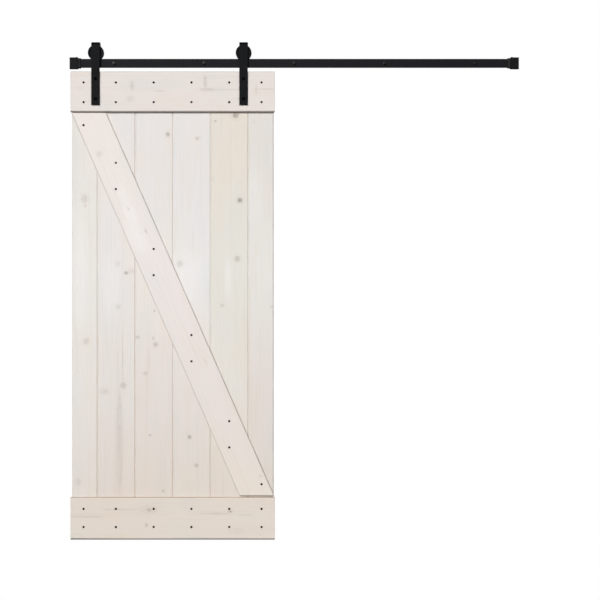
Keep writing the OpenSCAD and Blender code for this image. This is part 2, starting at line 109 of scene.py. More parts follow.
def makeRoom(setup):
    # a white room: soft light all round, and plain white where the camera looks past the door
    world = bpy.data.worlds.new("softRoom")
    bpy.context.scene.world = world
    world.use_nodes = True
    tree = world.node_tree
    tree.nodes.clear()
    coords = tree.nodes.new("ShaderNodeTexCoord")
    split = tree.nodes.new("ShaderNodeSeparateXYZ")
    height = tree.nodes.new("ShaderNodeMath")
    height.operation = "ABSOLUTE"
    fade = tree.nodes.new("ShaderNodeMapRange")
    fade.interpolation_type = "SMOOTHSTEP"
    fade.inputs["From Min"].default_value = setup["fadeFrom"]
    fade.inputs["From Max"].default_value = setup["fadeTo"]
    fade.inputs["To Min"].default_value = setup["roundStrength"]
    fade.inputs["To Max"].default_value = setup["poleStrength"]
    room = tree.nodes.new("ShaderNodeBackground")
    plain = tree.nodes.new("ShaderNodeBackground")
    for shader in (room, plain):
        shader.inputs["Color"].default_value = (1, 1, 1, 1)
    tree.links.new(coords.outputs["Generated"], split.inputs[0])
    tree.links.new(split.outputs["Z"], height.inputs[0])
    tree.links.new(height.outputs[0], fade.inputs["Value"])
    tree.links.new(fade.outputs[0], room.inputs["Strength"])
    out = tree.nodes.new("ShaderNodeOutputWorld")
    tree.links.new(seenOrNot(tree, plain, room), out.inputs[0])


def seenOrNot(tree, seen, unseen):
    # one shader where the camera looks at it, another for the light that it gives
    path = tree.nodes.new("ShaderNodeLightPath")
    choose = tree.nodes.new("ShaderNodeMixShader")
    tree.links.new(path.outputs["Is Camera Ray"], choose.inputs[0])
    tree.links.new(unseen.outputs[0], choose.inputs[1])
    tree.links.new(seen.outputs[0], choose.inputs[2])
    return choose.outputs[0]


def makeFloor(setup):
    half = setup["floorSize"] / 2
    level = leafLow.z - setup["floorDrop"]
    corners = [(-half, -half), (half, -half), (half, half), (-half, half)]
    mesh = bpy.data.meshes.new("floor")
    mesh.from_pydata([(x, y, level) for x, y in corners], [], [(0, 1, 2, 3)])
    floor = bpy.data.objects.new("floor", mesh)
    bpy.context.scene.collection.objects.link(floor)
    material = bpy.data.materials.new("paleFloor")
    material.use_nodes = True
    tree = material.node_tree
    tree.nodes.clear()
    matt = tree.nodes.new("ShaderNodeBsdfDiffuse")
    glow = tree.nodes.new("ShaderNodeEmission")
    out = tree.nodes.new("ShaderNodeOutputMaterial")
    shade = setup["floorShade"]
    matt.inputs["Color"].default_value = (shade, shade, shade, 1)
    tree.links.new(seenOrNot(tree, glow, matt), out.inputs[0])
    mesh.materials.append(material)


makeRoom(studio)
makeFloor(studio)
for lampName, lampSetup in studio["lamps"].items():
    makeLamp(lampName, studio["lampAway"], *lampSetup)
bpy.context.scene.view_settings.view_transform = "Standard"
print("camera, lamps and floor ready")


def paint(red, green, blue):
    # a colour as a screen shows it, turned into the linear one that shaders take
    def linear(value):
        return value / 12.92 if value <= 0.04045 else ((value + 0.055) / 1.055) ** 2.4
    return (linear(red), linear(green), linear(blue), 1.0)


def feed(tree, socket, value):
    if isinstance(value, bpy.types.NodeSocket):
        tree.links.new(value, socket)
    else:
        socket.default_value = value


def calc(tree, operation, first, second=None, third=None, clamp=False):
    node = tree.nodes.new("ShaderNodeMath")
    node.operation = operation
    node.use_clamp = clamp
    for socket, value in zip(node.inputs, (first, second, third)):
        if value is not None:
            feed(tree, socket, value)
    return node.outputs[0]


def vectorCalc(tree, operation, first, second=None):
    node = tree.nodes.new("ShaderNodeVectorMath")
    node.operation = operation
    feed(tree, node.inputs[0], first)
    if second is not None:
        feed(tree, node.inputs[1], second)
    return node.outputs["Value"] if operation in ("LENGTH", "DISTANCE") else node.outputs[0]


def fadeBetween(tree, value, low, high, start=0.0, end=1.0):
    node = tree.nodes.new("ShaderNodeMapRange")
    node.interpolation_type = "SMOOTHSTEP"
    labels = ("Value", "From Min", "From Max", "To Min", "To Max")
    for label, item in zip(labels, (value, low, high, start, end)):
        feed(tree, node.inputs[label], item)
    return node.outputs[0]


def mixColours(tree, factor, first, second, mode="MIX"):
    node = tree.nodes.new("ShaderNodeMix")
    node.data_type = "RGBA"
    node.blend_type = mode
    feed(tree, node.inputs[0], factor)
    feed(tree, node.inputs[6], first)     # sockets 6, 7 and 2 are its colour ones
    feed(tree, node.inputs[7], second)
    return node.outputs[2]


def noiseField(tree, place, scale, detail=2.0, rough=0.5):
    node = tree.nodes.new("ShaderNodeTexNoise")
    feed(tree, node.inputs["Vector"], place)
    node.inputs["Scale"].default_value = scale
    node.inputs["Detail"].default_value = detail
    node.inputs["Roughness"].default_value = rough
    return node.outputs[0]


def splitVector(tree, value):
    node = tree.nodes.new("ShaderNodeSeparateXYZ")
    tree.links.new(value, node.inputs[0])
    return node.outputs


def joinVector(tree, x, y, z):
    node = tree.nodes.new("ShaderNodeCombineXYZ")
    for socket, value in zip(node.inputs, (x, y, z)):
        feed(tree, socket, value)
    return node.outputs[0]


places = ("Place", "Half", "Pith", "Marks")
colours = ("Colour", "Tint", "Tone", "Rubbed", "Dull")


def newGroup(name, takes, gives):
    # takes and gives list the sockets, which are numbers unless they are places or colours
    tree = bpy.data.node_groups.new(name, "ShaderNodeTree")
    for labels, way in ((takes, "INPUT"), (gives, "OUTPUT")):
        for label in labels.split():
            kind = "Vector" if label in places else "Color" if label in colours else "Float"
            tree.interface.new_socket(name=label, in_out=way, socket_type="NodeSocket" + kind)
    return tree, tree.nodes.new("NodeGroupInput").outputs, tree.nodes.new("NodeGroupOutput").inputs


def useGroup(tree, group, values):
    node = tree.nodes.new("ShaderNodeGroup")
    node.node_tree = group
    for label, value in values.items():
        feed(tree, node.inputs[label], value)
    return node.outputs


def centred(tree, field, width):
    # a noise field turned into a shift either way, width from end to end
    return calc(tree, "MULTIPLY", calc(tree, "SUBTRACT", field, 0.5), width)


def makeBoxEdge():
    # how near a point is to an edge of a box about the origin: 1 on the edge, 0 at Reach from it
    tree, given, out = newGroup("boxEdge", "Place Half Reach Wander", "Edge")
    fromMiddle = vectorCalc(tree, "ABSOLUTE", given["Place"])
    x, y, z = splitVector(tree, vectorCalc(tree, "SUBTRACT", given["Half"], fromMiddle))
    lowest = calc(tree, "MINIMUM", x, y)
    middle = calc(tree, "MAXIMUM", lowest, calc(tree, "MINIMUM", calc(tree, "MAXIMUM", x, y), z))
    rub = noiseField(tree, given["Place"], 38.0, 3.0, 0.6)
    away = calc(tree, "ADD", middle, centred(tree, rub, given["Wander"]))
    feed(tree, out["Edge"], fadeBetween(tree, away, 0.0, given["Reach"], 1.0, 0.0))
    return tree


# A knot, all in its own radius: where its outline, core, rim and halo fade, and how ragged it is
knotShape = {
    "outline": (0.75, 1.15),
    "core": (0.15, 0.50),
    "middleTone": 0.45,
    "rimAt": 0.88,
    "rimFade": (0.05, 0.28),
    "rimTone": 0.9,
    "halo": (0.7, 2.6),
    "ragScale": 110.0,       # noise that breaks up its outline, per metre
    "ragged": 1.1,
    "pushFade": 0.16,        # how fast the rings come back beside it
}


def makeKnotSpot(shape):
    # one knot: dark core, paler middle and dark rim, with greyer wood round it, and how far it
    # pushes the growth rings aside
    tree, given, out = newGroup("knotSpot", "Place Across Along Radius Stretch", "Heart Halo Push")
    x, y, z = splitVector(tree, given["Place"])
    across = calc(tree, "DIVIDE", calc(tree, "SUBTRACT", x, given["Across"]), given["Radius"])
    reach = calc(tree, "MULTIPLY", given["Radius"], given["Stretch"])
    along = calc(tree, "DIVIDE", calc(tree, "SUBTRACT", z, given["Along"]), reach)
    away = vectorCalc(tree, "LENGTH", joinVector(tree, across, 0.0, along))
    ragged = noiseField(tree, given["Place"], shape["ragScale"], 3.0, 0.6)
    away = calc(tree, "ADD", away, centred(tree, ragged, shape["ragged"]))
    inside = fadeBetween(tree, away, *shape["outline"], 1.0, 0.0)
    core = fadeBetween(tree, away, *shape["core"], 1.0, shape["middleTone"])
    fromRim = calc(tree, "ABSOLUTE", calc(tree, "SUBTRACT", away, shape["rimAt"]))
    rim = fadeBetween(tree, fromRim, *shape["rimFade"], shape["rimTone"], 0.0)
    feed(tree, out["Heart"], calc(tree, "MULTIPLY", inside, calc(tree, "MAXIMUM", core, rim)))
    feed(tree, out["Halo"], fadeBetween(tree, away, *shape["halo"], 1.0, 0.0))
    squared = calc(tree, "MULTIPLY", away, away)
    swell = calc(tree, "EXPONENT", calc(tree, "MULTIPLY", squared, -shape["pushFade"]))
    feed(tree, out["Push"], calc(tree, "MULTIPLY", swell, given["Radius"]))
    return tree


# Growth rings: each scale of noise is per metre across, deep and along the board
grainShape = {
    "swayScale": (5.0, 5.0, 1.1),
    "sway": 0.075,           # how far the rings wander, in metres
    "rippleScale": (40.0, 40.0, 6.0),
    "ripple": 0.006,
    "knotPush": 1.5,
    "lateWood": (0.15, 0.85),    # each ring darkens over this part of it
    "ringEnd": (0.88, 1.0),      # and falls back over this part
    "weakest": 0.35,         # the palest ring against the darkest
    "fibreScale": (1100.0, 1100.0, 16.0),
    "cloudScale": (10.0, 10.0, 3.0),
    "streakScale": (120.0, 120.0, 1.6),
}


def makePineGrain(shape):
    # growth rings of a board sawn beside the pith, with fibres and slow changes of tone along it
    tree, given, out = newGroup(
        "pineGrain", "Place Pith Ring Lean Push Seed", "Rings Fibre Cloud Streak")
    seed = joinVector(tree, given["Seed"], given["Seed"], given["Seed"])
    seeded = vectorCalc(tree, "ADD", given["Place"], seed)

    def field(scale, detail, rough=0.5):
        scaled = vectorCalc(tree, "MULTIPLY", seeded, shape[scale])
        return noiseField(tree, scaled, 1.0, detail, rough)

    sway = centred(tree, field("swayScale", 1.5), shape["sway"])
    ripple = centred(tree, field("rippleScale", 2.0), shape["ripple"])
    x, y, z = splitVector(tree, vectorCalc(tree, "SUBTRACT", given["Place"], given["Pith"]))
    across = calc(tree, "ADD", calc(tree, "ADD", x, sway), ripple)
    deep = calc(tree, "ADD", y, calc(tree, "MULTIPLY", z, given["Lean"]))
    radius = vectorCalc(tree, "LENGTH", joinVector(tree, across, deep, 0.0))
    radius = calc(tree, "ADD", radius, calc(tree, "MULTIPLY", given["Push"], shape["knotPush"]))
    count = calc(tree, "DIVIDE", radius, given["Ring"])
    part = calc(tree, "FRACT", count)
    rise = fadeBetween(tree, part, *shape["lateWood"])
    drop = fadeBetween(tree, part, *shape["ringEnd"], 1.0, 0.0)
    tone = tree.nodes.new("ShaderNodeTexWhiteNoise")
    tone.noise_dimensions = "1D"
    feed(tree, tone.inputs["W"], calc(tree, "FLOOR", count))
    weakest = shape["weakest"]
    strength = calc(tree, "MULTIPLY_ADD", tone.outputs["Value"], 1 - weakest, weakest)
    feed(tree, out["Rings"], calc(tree, "MULTIPLY", calc(tree, "MULTIPLY", rise, drop), strength))
    feed(tree, out["Fibre"], field("fibreScale", 3.0, 0.65))
    feed(tree, out["Cloud"], field("cloudScale", 4.0, 0.55))
    feed(tree, out["Streak"], field("streakScale", 3.0, 0.6))
    return tree


washLooks = {
    "coolTint": (0.985, 0.994, 0.998),
    "warmTint": (1.0, 0.993, 0.985),
    "coolFade": (0.48, 0.70),    # over this part of the cloud noise the wash turns cool
    "warmFade": (0.52, 0.34),    # and over this part warm
    "paleTint": (0.965, 0.955, 0.950),
    "paleShare": 0.6,
    "earlyWood": (0.78, 0.69, 0.58),
    "lateWood": (0.68, 0.57, 0.46),
    "haloWood": (0.56, 0.49, 0.44),
    "knotWood": (0.22, 0.18, 0.17),
    "cover": 0.99,           # how much of the wood the wash hides, and what is taken from that
    "streakFade": (0.50, 0.80, 0.0, 0.15),
    "fibreFade": (0.50, 0.85, 0.0, 0.06),
    "haloCut": 0.16,
    "knotCut": 0.55,
    # painted shade: the tints that darken faces turned down and faces turned up
    "underShadeTint": (0.40, 0.38, 0.37),
    "overShadeTint": (0.86, 0.82, 0.78),
    "roughness": (0.18, 0.52),   # more on the fibres, and everywhere
    "ringRelief": 0.4,
    "fibreRelief": 0.6,
    "knotRelief": 0.6,
}


def makeWhitewash(looks):
    # thin white wash over pine: it lies thinner on late wood, knots and rubbed edges, and the
    # narrow faces that look up or down get painted shade, drawn darker for the way they face
    tree, given, out = newGroup(
        "whitewash", "Rings Show Fibre Cloud Streak Heart Halo Edge Rub Under Over Pale Tint",
        "Colour Roughness Relief")
    tints = {name: paint(*looks[name]) for name in looks if name.endswith(("Tint", "Wood"))}
    cool = fadeBetween(tree, given["Cloud"], *looks["coolFade"])
    warm = fadeBetween(tree, given["Cloud"], *looks["warmFade"])
    pale = calc(tree, "MULTIPLY", given["Pale"], looks["paleShare"])
    wash = mixColours(tree, cool, given["Tint"], tints["coolTint"], "MULTIPLY")
    wash = mixColours(tree, warm, wash, tints["warmTint"], "MULTIPLY")
    wash = mixColours(tree, pale, wash, tints["paleTint"])
    pine = mixColours(tree, given["Rings"], tints["earlyWood"], tints["lateWood"])
    pine = mixColours(tree, given["Halo"], pine, tints["haloWood"])
    pine = mixColours(tree, given["Heart"], pine, tints["knotWood"])
    cuts = (calc(tree, "MULTIPLY", given["Rings"], given["Show"]),
            fadeBetween(tree, given["Streak"], *looks["streakFade"]),
            fadeBetween(tree, given["Fibre"], *looks["fibreFade"]),
            calc(tree, "MULTIPLY", given["Edge"], given["Rub"]),
            calc(tree, "MULTIPLY", given["Halo"], looks["haloCut"]))
    cover = looks["cover"]
    for cut in cuts:
        cover = calc(tree, "SUBTRACT", cover, cut)
    knotCut = calc(tree, "MULTIPLY", given["Heart"], looks["knotCut"])
    cover = calc(tree, "SUBTRACT", cover, knotCut, clamp=True)
    colour = mixColours(tree, cover, pine, wash)
    # painted shade: faces turned down or up are drawn darker for the way they face
    for face, tint in (("Under", "underShadeTint"), ("Over", "overShadeTint")):
        darker = mixColours(tree, 1.0, colour, tints[tint], "MULTIPLY")
        colour = mixColours(tree, given[face], colour, darker)
    feed(tree, out["Colour"], colour)
    feed(tree, out["Roughness"], calc(tree, "MULTIPLY_ADD", given["Fibre"], *looks["roughness"]))
    fibres = calc(tree, "MULTIPLY", given["Fibre"], looks["fibreRelief"])
    relief = calc(tree, "MULTIPLY_ADD", given["Rings"], looks["ringRelief"], fibres)
    dip = calc(tree, "MULTIPLY", given["Heart"], looks["knotRelief"])
    feed(tree, out["Relief"], calc(tree, "SUBTRACT", relief, dip))
    return tree


# Scales of noise are per metre; a fade gives where it starts and ends in the noise, then what it
# starts and ends at
coatTexture = {
    "mottleScale": 26.0,
    "mottleFade": (0.35, 0.75, 0.0, 0.25),
    "scuffFade": (0.3, 0.7, 0.15, 0.8),
    "peelScale": 900.0,
    "roughSpread": 0.16,     # how much rougher the palest patches are
}


def makePowderCoat(texture):
    # matt black coat: fine orange peel, faint mottling and edges rubbed a little greyer
    tree, given, out = newGroup(
        "powderCoat", "Place Edge Tone Rubbed Base", "Colour Roughness Relief")
    mottle = noiseField(tree, given["Place"], texture["mottleScale"], 4.0, 0.6)
    peel = noiseField(tree, given["Place"], texture["peelScale"], 2.0, 0.5)
    lift = fadeBetween(tree, mottle, *texture["mottleFade"])
    colour = mixColours(tree, lift, given["Tone"], given["Rubbed"])
    patches = fadeBetween(tree, mottle, *texture["scuffFade"])
    scuff = calc(tree, "MULTIPLY", given["Edge"], patches)
    feed(tree, out["Colour"], mixColours(tree, scuff, colour, given["Rubbed"]))
    rough = calc(tree, "MULTIPLY_ADD", mottle, texture["roughSpread"], given["Base"])
    feed(tree, out["Roughness"], rough)
    feed(tree, out["Relief"], peel)
    return tree


steelTexture = {
    "spotScale": 70.0,
    "spotFade": (0.4, 0.7, 0.0, 0.5),
    "roughSpread": 0.25,     # how much rougher the deepest tool marks are
}


def makeTurnedSteel(texture):
    # bright steel: fine tool marks and dull spots
    tree, given, out = newGroup(
        "turnedSteel", "Place Marks Tone Dull Base", "Colour Roughness Relief")
    along = vectorCalc(tree, "MULTIPLY", given["Place"], given["Marks"])
    marks = noiseField(tree, along, 1.0, 3.0, 0.6)
    spots = noiseField(tree, given["Place"], texture["spotScale"], 3.0, 0.6)
    dulled = fadeBetween(tree, spots, *texture["spotFade"])
    feed(tree, out["Colour"], mixColours(tree, dulled, given["Tone"], given["Dull"]))
    rough = calc(tree, "MULTIPLY_ADD", marks, texture["roughSpread"], given["Base"])
    feed(tree, out["Roughness"], rough)
    feed(tree, out["Relief"], marks)
    return tree


boxEdge = makeBoxEdge()
knotSpot = makeKnotSpot(knotShape)
pineGrain = makePineGrain(grainShape)
whitewash = makeWhitewash(washLooks)
powderCoat = makePowderCoat(coatTexture)
turnedSteel = makeTurnedSteel(steelTexture)
print("shared effects ready")


def newMaterial(name):
    material = bpy.data.materials.new(name)
    material.use_nodes = True
    tree = material.node_tree
    return material, tree, tree.nodes["Principled BSDF"]


def objectPlace(tree, centre=(0, 0, 0), turn=0.0):
    # places measured from a piece's centre, turned about Y so that its length runs along Z
    coords = tree.nodes.new("ShaderNodeTexCoord")
    node = tree.nodes.new("ShaderNodeMapping")
    node.vector_type = "TEXTURE"
    tree.links.new(coords.outputs["Object"], node.inputs["Vector"])
    node.inputs["Location"].default_value = centre
    node.inputs["Rotation"].default_value = (0, turn, 0)
    return node.outputs[0]


def dress(tree, shader, colour, roughness, relief, bump):
    # bump is how strong the relief is, and how deep in metres
    tree.links.new(colour, shader.inputs["Base Color"])
    tree.links.new(roughness, shader.inputs["Roughness"])
    node = tree.nodes.new("ShaderNodeBump")
    node.inputs["Strength"].default_value, node.inputs["Distance"].default_value = bump
    tree.links.new(relief, node.inputs["Height"])
    tree.links.new(node.outputs[0], shader.inputs["Normal"])


def blendSpots(tree, place, spots):
    # darkest heart and halo of a list of knots, and their whole push on the rings
    heart, halo, push = 0.0, 0.0, 0.0
    for across, along, radius, dark, stretch in spots:
        spot = useGroup(tree, knotSpot, {"Place": place, "Across": across, "Along": along,
                                         "Radius": radius, "Stretch": stretch})
        heart = calc(tree, "MAXIMUM", heart, calc(tree, "MULTIPLY", spot["Heart"], dark))
        halo = calc(tree, "MAXIMUM", halo, calc(tree, "MULTIPLY", spot["Halo"], dark))
        push = calc(tree, "ADD", push, spot["Push"])
    return heart, halo, push


def boardTint(tree, tones):
    # the board's wash, changing from the top of the leaf to its bottom
    coords = tree.nodes.new("ShaderNodeTexCoord")
    height = splitVector(tree, coords.outputs["Object"])[2]
    node = tree.nodes.new("ShaderNodeMapRange")
    for label, value in (("Value", height), ("From Min", leafHigh.z), ("From Max", leafLow.z)):
        feed(tree, node.inputs[label], value)
    ramp = tree.nodes.new("ShaderNodeValToRGB")
    tree.links.new(node.outputs[0], ramp.inputs[0])
    stops = ramp.color_ramp.elements
    while len(stops) < len(tones):
        stops.new(0.5)
    for k, tone in enumerate(tones):
        stops[k].position = (k + woodFinish["toneAt"]) / len(tones)
        stops[k].color = paint(*tone)
    return ramp.outputs[0]


def facing(tree, start, full):
    # 0 where the surface's upward share is at start, 1 where it is at full
    shape = tree.nodes.new("ShaderNodeNewGeometry")
    return fadeBetween(tree, splitVector(tree, shape.outputs["Normal"])[2], start, full)


woodFinish = {
    "gloss": 0.3,
    "bump": (0.28, 0.0012),
    "edgeWander": 0.004,         # how unevenly the edges are rubbed, in metres
    "underShadeFade": (-0.02, -0.16), # painted shade: a face darkens as it turns down over this
    "overShadeFade": (0.25, 0.8),     # and as it turns up over this
    "toneAt": 0.7,               # where each tone stands in its own share of the height
}


def pineMaterial(name, centre, turn, half, looks, knots, pales):
    material, tree, shader = newMaterial(name)
    place = objectPlace(tree, centre, turn)
    heart, halo, push = blendSpots(tree, place, knots)
    pale = blendSpots(tree, place, pales)[1]
    grain = useGroup(tree, pineGrain, {
        "Place": place, "Pith": looks["pith"], "Ring": looks["ring"], "Lean": looks["lean"],
        "Push": push, "Seed": looks["seed"]})
    edge = useGroup(tree, boxEdge, {
        "Place": place, "Half": half, "Reach": looks["edgeReach"],
        "Wander": woodFinish["edgeWander"]})
    finish = useGroup(tree, whitewash, {
        "Rings": grain["Rings"], "Show": looks["show"], "Fibre": grain["Fibre"],
        "Cloud": grain["Cloud"], "Streak": grain["Streak"], "Heart": heart, "Halo": halo,
        "Edge": edge["Edge"], "Rub": looks["rub"], "Pale": pale,
        # painted shade on faces turned down and up
        "Under": calc(tree, "MULTIPLY", facing(tree, *woodFinish["underShadeFade"]), looks["under"]),
        "Over": facing(tree, *woodFinish["overShadeFade"]), "Tint": boardTint(tree, looks["tones"])})
    shader.inputs["Specular IOR Level"].default_value = woodFinish["gloss"]
    dress(tree, shader, finish["Colour"], finish["Roughness"], finish["Relief"], woodFinish["bump"])
    return material


# Finishes of the black parts: the coat's own tone and its tone where it is rubbed
coatLooks = {
    "strap": {"tone": (0.008, 0.012, 0.026), "rubbed": (0.06, 0.06, 0.07),
              "gloss": 0.100, "roughness": 0.50},
    "rail": {"tone": (0.020, 0.016, 0.050), "rubbed": (0.07, 0.07, 0.08),
             "gloss": 0.13, "roughness": 0.48},
    "wheel": {"tone": (0.012, 0.012, 0.030), "rubbed": (0.06, 0.06, 0.07),
              "gloss": 0.105, "roughness": 0.50},
    "stop": {"tone": (0.030, 0.032, 0.045), "rubbed": (0.08, 0.08, 0.09),
             "gloss": 0.11, "roughness": 0.50},
    "fixing": {"tone": (0.015, 0.015, 0.018), "rubbed": (0.09, 0.09, 0.10),
               "gloss": 0.20, "roughness": 0.25},
    "strapBolt": {"tone": (0.005, 0.005, 0.007), "rubbed": (0.05, 0.05, 0.06),
                  "gloss": 0.03, "roughness": 0.30},
    "woodScrew": {"tone": (0.050, 0.040, 0.035), "rubbed": (0.08, 0.07, 0.06),
                  "gloss": 0.06, "roughness": 0.50},
}
coatWear = {
    "reach": 0.0022,         # rubbed this far in from an edge, in metres
    "wander": 0.0014,
    "bump": (0.12, 0.0004),
    "farOff": (9, 9, 9),     # a box too big for its edges to show, on small parts
}


def coatMaterial(name, looks, centre=(0, 0, 0), half=coatWear["farOff"]):
    material, tree, shader = newMaterial(name)
    place = objectPlace(tree, centre)
    edge = useGroup(tree, boxEdge, {
        "Place": place, "Half": half, "Reach": coatWear["reach"], "Wander": coatWear["wander"]})
    coat = useGroup(tree, powderCoat, {
        "Place": place, "Edge": edge["Edge"], "Tone": paint(*looks["tone"]),
        "Rubbed": paint(*looks["rubbed"]), "Base": looks["roughness"]})
    shader.inputs["Specular IOR Level"].default_value = looks["gloss"]
    dress(tree, shader, coat["Colour"], coat["Roughness"], coat["Relief"], coatWear["bump"])
    return material


# Bright steel: marks is how fine the tool marks are along each axis
steelLooks = {
    "zinc": {"tone": (0.72, 0.73, 0.75), "dull": (0.56, 0.57, 0.585),
             "roughness": 0.26, "marks": (500, 40, 500)},
    "bearing": {"tone": (0.78, 0.78, 0.79), "dull": (0.61, 0.61, 0.62),
                "roughness": 0.10, "marks": (300, 900, 300)},
}
steelBump = (0.15, 0.0003)


def steelMaterial(name, looks):
    material, tree, shader = newMaterial(name)
    steel = useGroup(tree, turnedSteel, {
        "Place": objectPlace(tree), "Marks": looks["marks"], "Tone": paint(*looks["tone"]),
        "Dull": paint(*looks["dull"]), "Base": looks["roughness"]})
    shader.inputs["Metallic"].default_value = 1.0
    dress(tree, shader, steel["Colour"], steel["Roughness"], steel["Relief"], steelBump)
    return material


rubberLooks = {
    "tone": (0.09, 0.09, 0.09),
    "dusty": (0.15, 0.15, 0.15),
    "dustScale": 45.0,
    "dustFade": (0.4, 0.7, 0.0, 0.5),
    "grainScale": 700.0,
    "roughness": (0.1, 0.72),    # more on the grain, and everywhere
    "gloss": 0.25,
    "bump": (0.2, 0.0004),
}


def rubberMaterial(name, looks):
    material, tree, shader = newMaterial(name)
    place = objectPlace(tree)
    grain = noiseField(tree, place, looks["grainScale"], 2.0, 0.6)
    dust = fadeBetween(tree, noiseField(tree, place, looks["dustScale"], 3.0, 0.6),
                       *looks["dustFade"])
    colour = mixColours(tree, dust, paint(*looks["tone"]), paint(*looks["dusty"]))
    rough = calc(tree, "MULTIPLY_ADD", grain, *looks["roughness"])
    shader.inputs["Specular IOR Level"].default_value = looks["gloss"]
    dress(tree, shader, colour, rough, grain, looks["bump"])
    return material


wheelCoat = coatMaterial("wheelCoat", coatLooks["wheel"])
spacerCoat = coatMaterial("spacerCoat", coatLooks["rail"])
blackFixing = coatMaterial("blackFixing", coatLooks["fixing"])
boltBlack = coatMaterial("boltBlack", coatLooks["strapBolt"])
screwBlack = coatMaterial("screwBlack", coatLooks["woodScrew"])
zincSteel = steelMaterial("zincSteel", steelLooks["zinc"])
bearingSteel = steelMaterial("bearingSteel", steelLooks["bearing"])
bumperRubber = rubberMaterial("bumperRubber", rubberLooks)
print("metal and rubber finishes ready")


def bodyOf(node):
    for body, nodes in frame["record"]["behaviour"]["bodies"].items():
        if node in nodes:
            return body
    raise ValueError(node)


def addPiece(name, mesh, material, node):
    # a finished piece that stands in for a node and moves as it does
    mesh.materials.clear()
    mesh.materials.append(material)
    piece = bpy.data.objects.new(name, mesh)
    bpy.context.scene.collection.objects.link(piece)
    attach(piece, bodyOf(node))
    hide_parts(node)


def smoothBelow(mesh, angle):
    mesh.shade_smooth()
    mesh.set_sharp_from_angle(angle=math.radians(angle))


def fixNormals(mesh):
    work = bmesh.new()
    work.from_mesh(mesh)
    bmesh.ops.recalc_face_normals(work, faces=work.faces)
    work.to_mesh(mesh)
    work.free()


boardShape = {
    "step": 0.005,           # spacing of the mesh along and across a board
    "rounding": (0.0, 0.08, 0.28, 0.6, 1.0),     # mesh lines across an eased edge
    "backEase": 0.0012,
    "endEase": 0.0015,
    "relief": 0.00035,       # how far planing leaves the face from flat
    "reliefFade": 0.01,      # this far in from the edges and beyond
    "ripple": 22.0,          # ripples to a metre across the board
    "rippleLength": 5,       # each is this many times as long as wide
    "sharpFrom": 32,         # edges that turn more than this many degrees stay sharp
}


def edgeSteps(length, step, ease):
    # mesh lines across a length: close together in the eased edges, even between them
    near = [ease * part for part in boardShape["rounding"]]
    count = max(2, round((length - 2 * ease) / step))
    middle = [ease + (length - 2 * ease) * k / count for k in range(1, count)]
    return near + middle + [length - item for item in reversed(near)]


def easedDrop(distance, ease):
    # how far a rounded edge falls away at a distance in from the edge
    if distance >= ease:
        return 0.0
    return ease - math.sqrt(max(0.0, ease * ease - (ease - distance) ** 2))


def boardMesh(name, centre, turn, width, deep, ends, ease, bevel, seed):
    # ends(across) gives where the board starts and stops along its length, so its ends may be
    # cut at a slant; its long edges are either bevelled or eased
    shape = boardShape
    backEase, endEase, ripple = shape["backEase"], shape["endEase"], shape["ripple"]
    axes = Matrix.Rotation(turn, 3, "Y")
    columns = edgeSteps(width, shape["step"], max(ease, bevel))
    low, high = ends(0.0)
    length = high - low
    rows = edgeSteps(length, shape["step"], endEase)
    points, faces = [], []
    for row in rows:
        ring = []
        for column in columns:
            across = column - width / 2
            start, stop = ends(across)
            along = start + (stop - start) * row / length
            side = min(column, width - column)
            end = min(row, length - row)
            fall = max(0.0, bevel - side) if bevel else easedDrop(side, ease)
            fall = max(fall, easedDrop(end, endEase))
            where = Vector((across * ripple, seed, along * ripple / shape["rippleLength"]))
            inside = min(1.0, min(side, end) / shape["reliefFade"])
            fall += shape["relief"] * (1 + noise.noise(where)) * inside
            ring.append((across, -deep / 2 + fall, along))
        for across, back in ((width / 2, backEase), (width / 2 - backEase, 0.0),
                             (backEase - width / 2, 0.0), (-width / 2, backEase)):
            start, stop = ends(across)
            ring.append((across, deep / 2 - back, start + (stop - start) * row / length))
        points += [centre + axes @ Vector(point) for point in ring]
    around = len(ring)
    for k in range(len(rows) - 1):
        for j in range(around):
            a, b = k * around + j, k * around + (j + 1) % around
            faces.append((a, b, b + around, a + around))
    faces.append(tuple(reversed(range(around))))
    faces.append(tuple(range((len(rows) - 1) * around, len(rows) * around)))
    mesh = bpy.data.meshes.new(name)
    mesh.from_pydata(points, [], faces)
    fixNormals(mesh)
    smoothBelow(mesh, shape["sharpFrom"])
    return mesh


